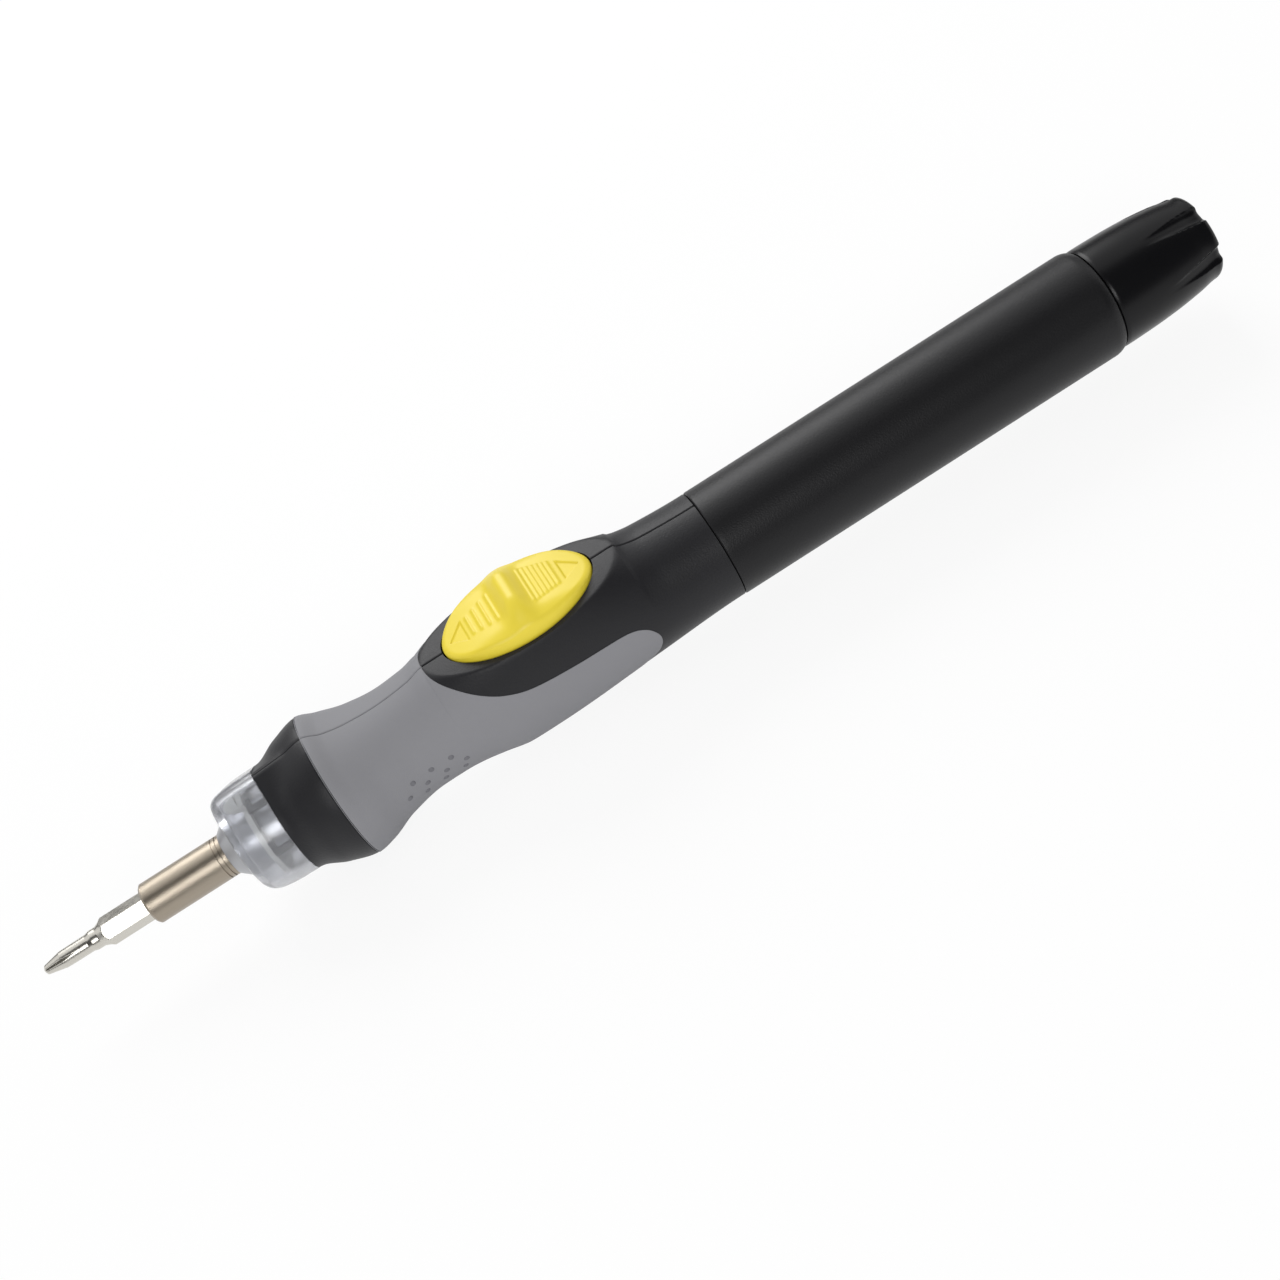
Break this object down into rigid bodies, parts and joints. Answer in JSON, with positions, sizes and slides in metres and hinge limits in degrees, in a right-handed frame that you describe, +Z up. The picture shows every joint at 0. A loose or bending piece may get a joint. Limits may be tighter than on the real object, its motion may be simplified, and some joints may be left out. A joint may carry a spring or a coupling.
{
  "type": "cordless precision screwdriver",
  "caption": "Slim pen-style cordless screwdriver with a rocker switch, soft flared grip, lamp ring, hex bit holder and screw-off battery tail cap.",
  "frame": {"origin": "centre of the bit holder's front face, on the tool's axis", "axes": "+X along the tool towards the tail cap, +Z up through the rocker, +Y to the right half seen from the tail"},
  "size_m": [0.203, 0.0236, 0.0273],
  "materials": {
    "black_plastic": "moulded, fine matt texture",
    "grip_rubber": "soft-touch overmoulded elastomer, matt",
    "cap_plastic": "moulded, satin",
    "yellow_plastic": "moulded, satin",
    "clear_lens": "clear moulded polycarbonate, slightly frosted inside",
    "warm_nickel": "turned, satin nickel plate",
    "bit_steel": "plated tool steel",
    "steel": "turned steel",
    "gear_plastic": "natural acetal",
    "gear_brass": "sintered bronze",
    "winding": "enamelled copper wire on a steel core",
    "ferrite": "ferrite magnet",
    "white_plastic": "moulded nylon",
    "board": "glass-fibre board, green mask",
    "lamp_white": "white light-emitting diode",
    "cell_jacket": "plain printed sleeve over a steel can"
  },
  "bodies": {
    "housing": {"housing_left": "black_plastic", "housing_right": "black_plastic", "grip_left": "grip_rubber", "grip_right": "grip_rubber", "lens": "clear_lens", "lamp": "lamp_white", "lamp_board": "board", "gearbox_nose": "warm_nickel", "ring_gear": "gear_plastic", "gearbox_cover": "steel", "motor_can": "steel", "motor_magnets": "ferrite", "motor_cap": "white_plastic", "switch_board": "board", "switch_domes": "steel", "front_contact": "steel", "cells": "cell_jacket", "battery_tube": "cap_plastic"},
    "spindle": {"output_spindle": "steel", "bit_holder": "warm_nickel", "magnet": "ferrite"},
    "bit": {"bit": "bit_steel"},
    "rocker": {"rocker": "yellow_plastic"},
    "rotor": {"rotor": "winding"},
    "input_carrier": {"input_carrier": "steel"},
    "cap_slide": {"cap_contact": "steel", "cap_spring": "steel"},
    "tail_cap": {"tail_cap": "cap_plastic"},
    "output_planet_a": {"output_planet_a": "gear_brass"},
    "output_planet_b": {"output_planet_b": "gear_brass"},
    "output_planet_c": {"output_planet_c": "gear_brass"},
    "input_planet_a": {"input_planet_a": "gear_plastic"},
    "input_planet_b": {"input_planet_b": "gear_plastic"},
    "input_planet_c": {"input_planet_c": "gear_plastic"}
  },
  "joints": [
    {"name": "spindle_spin", "type": "hinge", "parent": "housing", "child": "spindle", "pos_m": [0, 0, 0], "axis": [1, 0, 0], "continuous": true},
    {"name": "bit_pull", "type": "slide", "parent": "spindle", "child": "bit", "axis": [-1, 0, 0], "range_m": [0, 0.0102]},
    {"name": "rocker_tilt", "type": "hinge", "parent": "housing", "child": "rocker", "pos_m": [0.069, 0, 0.0095], "axis": [0, 1, 0], "range_deg": [-4, 4], "stiffness_Nm_per_rad": 0.02},
    {"name": "cap_travel", "type": "slide", "parent": "housing", "child": "cap_slide", "axis": [1, 0, 0], "range_m": [0, 0.004]},
    {"name": "cap_turn", "type": "hinge", "parent": "cap_slide", "child": "tail_cap", "pos_m": [0.17, 0, 0], "axis": [1, 0, 0], "range_deg": [0, 720]},
    {"name": "carrier_spin", "type": "hinge", "parent": "housing", "child": "input_carrier", "pos_m": [0.03, 0, 0], "axis": [1, 0, 0], "continuous": true},
    {"name": "rotor_spin", "type": "hinge", "parent": "housing", "child": "rotor", "pos_m": [0.05, 0, 0], "axis": [1, 0, 0], "continuous": true},
    {"name": "output_planet_a_spin", "type": "hinge", "parent": "spindle", "child": "output_planet_a", "pos_m": [0.031, 0, -0.0036], "axis": [1, 0, 0], "continuous": true},
    {"name": "output_planet_b_spin", "type": "hinge", "parent": "spindle", "child": "output_planet_b", "pos_m": [0.031, 0.00312, 0.0018], "axis": [1, 0, 0], "continuous": true},
    {"name": "output_planet_c_spin", "type": "hinge", "parent": "spindle", "child": "output_planet_c", "pos_m": [0.031, -0.00312, 0.0018], "axis": [1, 0, 0], "continuous": true},
    {"name": "input_planet_a_spin", "type": "hinge", "parent": "input_carrier", "child": "input_planet_a", "pos_m": [0.037, 0, -0.0036], "axis": [1, 0, 0], "continuous": true},
    {"name": "input_planet_b_spin", "type": "hinge", "parent": "input_carrier", "child": "input_planet_b", "pos_m": [0.037, 0.00312, 0.0018], "axis": [1, 0, 0], "continuous": true},
    {"name": "input_planet_c_spin", "type": "hinge", "parent": "input_carrier", "child": "input_planet_c", "pos_m": [0.037, -0.00312, 0.0018], "axis": [1, 0, 0], "continuous": true}
  ],
  "couplings": [
    {"joint": "carrier_spin", "follows": "spindle_spin", "ratio": 5.3333},
    {"joint": "rotor_spin", "follows": "spindle_spin", "ratio": 28.444},
    {"joint": "cap_turn", "follows": "cap_travel", "rad_per_m": 3141.6},
    {"joint": "output_planet_a_spin", "follows": "spindle_spin", "ratio": -2.6},
    {"joint": "output_planet_b_spin", "follows": "spindle_spin", "ratio": -2.6},
    {"joint": "output_planet_c_spin", "follows": "spindle_spin", "ratio": -2.6},
    {"joint": "input_planet_a_spin", "follows": "spindle_spin", "ratio": -13.867},
    {"joint": "input_planet_b_spin", "follows": "spindle_spin", "ratio": -13.867},
    {"joint": "input_planet_c_spin", "follows": "spindle_spin", "ratio": -13.867}
  ]
}
